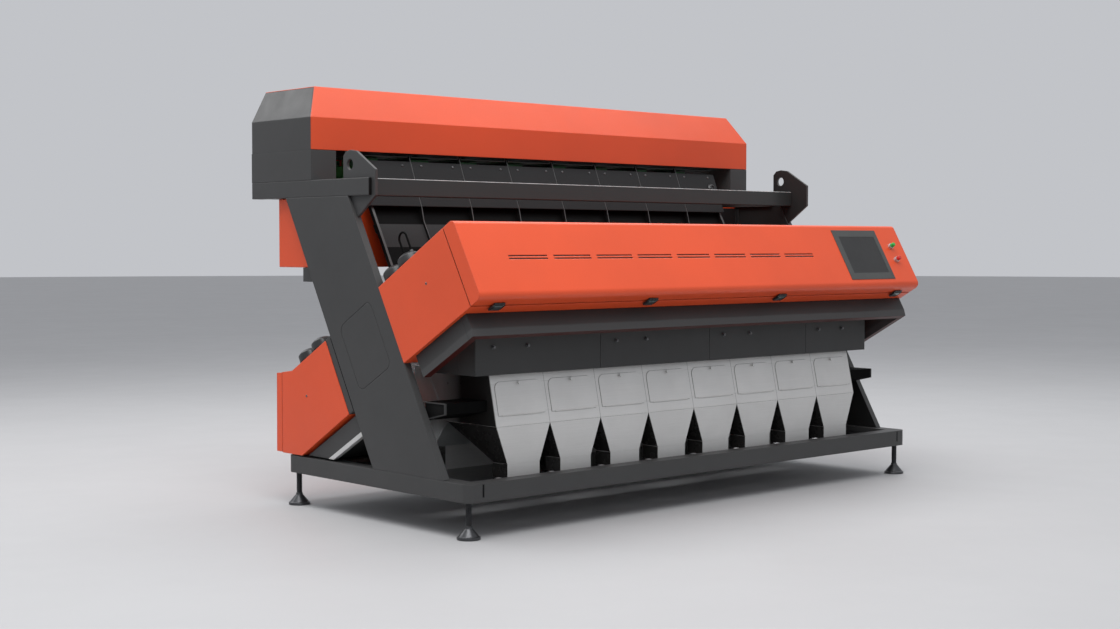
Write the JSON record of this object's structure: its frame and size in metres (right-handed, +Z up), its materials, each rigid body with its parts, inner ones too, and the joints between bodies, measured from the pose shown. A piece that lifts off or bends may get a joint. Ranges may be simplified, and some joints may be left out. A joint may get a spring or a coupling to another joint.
{
  "type": "optical colour sorter",
  "caption": "Inclined grain colour sorter: feed hood over vibratory trays and chutes, front and rear optical boxes with hinged covers, hoppers with doors, levelling feet.",
  "frame": {"origin": "on the floor under the middle of the machine", "axes": "+X right along the machine seen from its front, +Y to the back, +Z up"},
  "size_m": [3.144, 1.7735, 2.027],
  "materials": {
    "orange_paint": "satin",
    "grey_paint": "satin",
    "dark_paint": "satin",
    "black_gloss": "gloss",
    "steel": "satin",
    "zinc": "bright",
    "chute_alloy": "bright",
    "window": "clear",
    "screen_gloss": "gloss",
    "black_plastic": "matte",
    "dome_plastic": "matte",
    "lamp_white": "gloss",
    "green_paint": "satin",
    "green_cap": "gloss",
    "red_cap": "gloss",
    "cable_rubber": "matte"
  },
  "bodies": {
    "frame": {"base_rails": "grey_paint", "base_tray": "black_gloss", "uprights": "grey_paint", "upright_covers": "dark_paint", "top_arms": "grey_paint", "lifting_lugs": "grey_paint", "cross_beams": "grey_paint", "hood_front": "orange_paint", "hood_shell": "orange_paint", "hood_ends": "grey_paint", "feed_bin": "steel", "feeder_guards": "dark_paint", "vibrators": "green_paint", "chute_plates": "chute_alloy", "chute_ribs": "chute_alloy", "front_box": "orange_paint", "window_glass": "window", "cameras": "black_plastic", "lamp_bars": "lamp_white", "valance": "grey_paint", "discharge_panels": "dark_paint", "panel_screws": "zinc", "hopper_face": "steel", "hopper_funnels": "steel", "hopper_partitions": "steel", "outlet_spouts": "steel", "rear_hopper": "steel", "hopper_brackets": "grey_paint", "rear_box": "orange_paint", "rear_bearer": "grey_paint", "rear_stays": "steel", "rear_cabinet": "orange_paint", "ejector_bar": "chute_alloy", "gland_domes": "dome_plastic", "camera_cable": "cable_rubber"},
    "front_cover": {"front_cover": "orange_paint", "screen_bezel": "black_plastic", "touch_screen": "screen_gloss", "button_collars": "zinc"},
    "start_button": {"start_button": "green_cap"},
    "stop_button": {"stop_button": "red_cap"},
    "feeder_trays": {"feeder_trays": "steel"},
    "rear_cover": {"rear_cover": "orange_paint"},
    "cover_latch_1": {"cover_latch_1": "black_plastic"},
    "levelling_foot_1": {"levelling_foot_1": "zinc"},
    "cover_latch_2": {"cover_latch_2": "black_plastic"},
    "levelling_foot_2": {"levelling_foot_2": "zinc"},
    "cover_latch_3": {"cover_latch_3": "black_plastic"},
    "levelling_foot_3": {"levelling_foot_3": "zinc"},
    "cover_latch_4": {"cover_latch_4": "black_plastic"},
    "levelling_foot_4": {"levelling_foot_4": "zinc"},
    "hopper_door_1": {"hopper_door_1": "steel"},
    "hopper_door_2": {"hopper_door_2": "steel"},
    "hopper_door_3": {"hopper_door_3": "steel"},
    "hopper_door_4": {"hopper_door_4": "steel"},
    "hopper_door_5": {"hopper_door_5": "steel"},
    "hopper_door_6": {"hopper_door_6": "steel"},
    "hopper_door_7": {"hopper_door_7": "steel"},
    "hopper_door_8": {"hopper_door_8": "steel"}
  },
  "joints": [
    {"name": "front_cover_hinge", "type": "hinge", "parent": "frame", "child": "front_cover", "pos_m": [0, -0.63908, 1.34327], "axis": [-1, 0, 0], "range_deg": [0, 75]},
    {"name": "cover_latch_1_lever", "type": "hinge", "parent": "front_cover", "child": "cover_latch_1", "pos_m": [-1.42, -0.85504, 1.01334], "axis": [-1, 0, 0], "range_deg": [0, 80]},
    {"name": "cover_latch_2_lever", "type": "hinge", "parent": "front_cover", "child": "cover_latch_2", "pos_m": [-0.48, -0.85504, 1.01334], "axis": [-1, 0, 0], "range_deg": [0, 80]},
    {"name": "cover_latch_3_lever", "type": "hinge", "parent": "front_cover", "child": "cover_latch_3", "pos_m": [0.45, -0.85504, 1.01334], "axis": [-1, 0, 0], "range_deg": [0, 80]},
    {"name": "cover_latch_4_lever", "type": "hinge", "parent": "front_cover", "child": "cover_latch_4", "pos_m": [1.422, -0.85504, 1.01334], "axis": [-1, 0, 0], "range_deg": [0, 80]},
    {"name": "start_button_press", "type": "slide", "parent": "front_cover", "child": "start_button", "axis": [0, 0.8704, -0.4924], "range_m": [0, 0.004], "stiffness_N_per_m": 400, "springref_m": -0.002},
    {"name": "stop_button_press", "type": "slide", "parent": "front_cover", "child": "stop_button", "axis": [0, 0.8704, -0.4924], "range_m": [0, 0.004], "stiffness_N_per_m": 400, "springref_m": -0.002},
    {"name": "hopper_door_1_hinge", "type": "hinge", "parent": "frame", "child": "hopper_door_1", "pos_m": [-1.12, -0.65927, 0.50457], "axis": [1, 0, 0], "range_deg": [0, 100]},
    {"name": "hopper_door_2_hinge", "type": "hinge", "parent": "frame", "child": "hopper_door_2", "pos_m": [-0.8, -0.65927, 0.50457], "axis": [1, 0, 0], "range_deg": [0, 100]},
    {"name": "hopper_door_3_hinge", "type": "hinge", "parent": "frame", "child": "hopper_door_3", "pos_m": [-0.48, -0.65927, 0.50457], "axis": [1, 0, 0], "range_deg": [0, 100]},
    {"name": "hopper_door_4_hinge", "type": "hinge", "parent": "frame", "child": "hopper_door_4", "pos_m": [-0.16, -0.65927, 0.50457], "axis": [1, 0, 0], "range_deg": [0, 100]},
    {"name": "hopper_door_5_hinge", "type": "hinge", "parent": "frame", "child": "hopper_door_5", "pos_m": [0.16, -0.65927, 0.50457], "axis": [1, 0, 0], "range_deg": [0, 100]},
    {"name": "hopper_door_6_hinge", "type": "hinge", "parent": "frame", "child": "hopper_door_6", "pos_m": [0.48, -0.65927, 0.50457], "axis": [1, 0, 0], "range_deg": [0, 100]},
    {"name": "hopper_door_7_hinge", "type": "hinge", "parent": "frame", "child": "hopper_door_7", "pos_m": [0.8, -0.65927, 0.50457], "axis": [1, 0, 0], "range_deg": [0, 100]},
    {"name": "hopper_door_8_hinge", "type": "hinge", "parent": "frame", "child": "hopper_door_8", "pos_m": [1.12, -0.65927, 0.50457], "axis": [1, 0, 0], "range_deg": [0, 100]},
    {"name": "feeder_tray_shake", "type": "slide", "parent": "frame", "child": "feeder_trays", "axis": [0, -1, 0], "range_m": [-0.001, 0.001], "stiffness_N_per_m": 40000},
    {"name": "rear_cover_hinge", "type": "hinge", "parent": "frame", "child": "rear_cover", "pos_m": [0, 0.625, 0.6495], "axis": [1, 0, 0], "range_deg": [0, 75]},
    {"name": "levelling_foot_1_turn", "type": "hinge", "parent": "frame", "child": "levelling_foot_1", "pos_m": [-1.52, -0.765, 0.1], "axis": [0, 0, 1], "continuous": true},
    {"name": "levelling_foot_2_turn", "type": "hinge", "parent": "frame", "child": "levelling_foot_2", "pos_m": [1.52, -0.765, 0.1], "axis": [0, 0, 1], "continuous": true},
    {"name": "levelling_foot_3_turn", "type": "hinge", "parent": "frame", "child": "levelling_foot_3", "pos_m": [-1.52, 0.54, 0.1], "axis": [0, 0, 1], "continuous": true},
    {"name": "levelling_foot_4_turn", "type": "hinge", "parent": "frame", "child": "levelling_foot_4", "pos_m": [1.52, 0.54, 0.1], "axis": [0, 0, 1], "continuous": true}
  ]
}
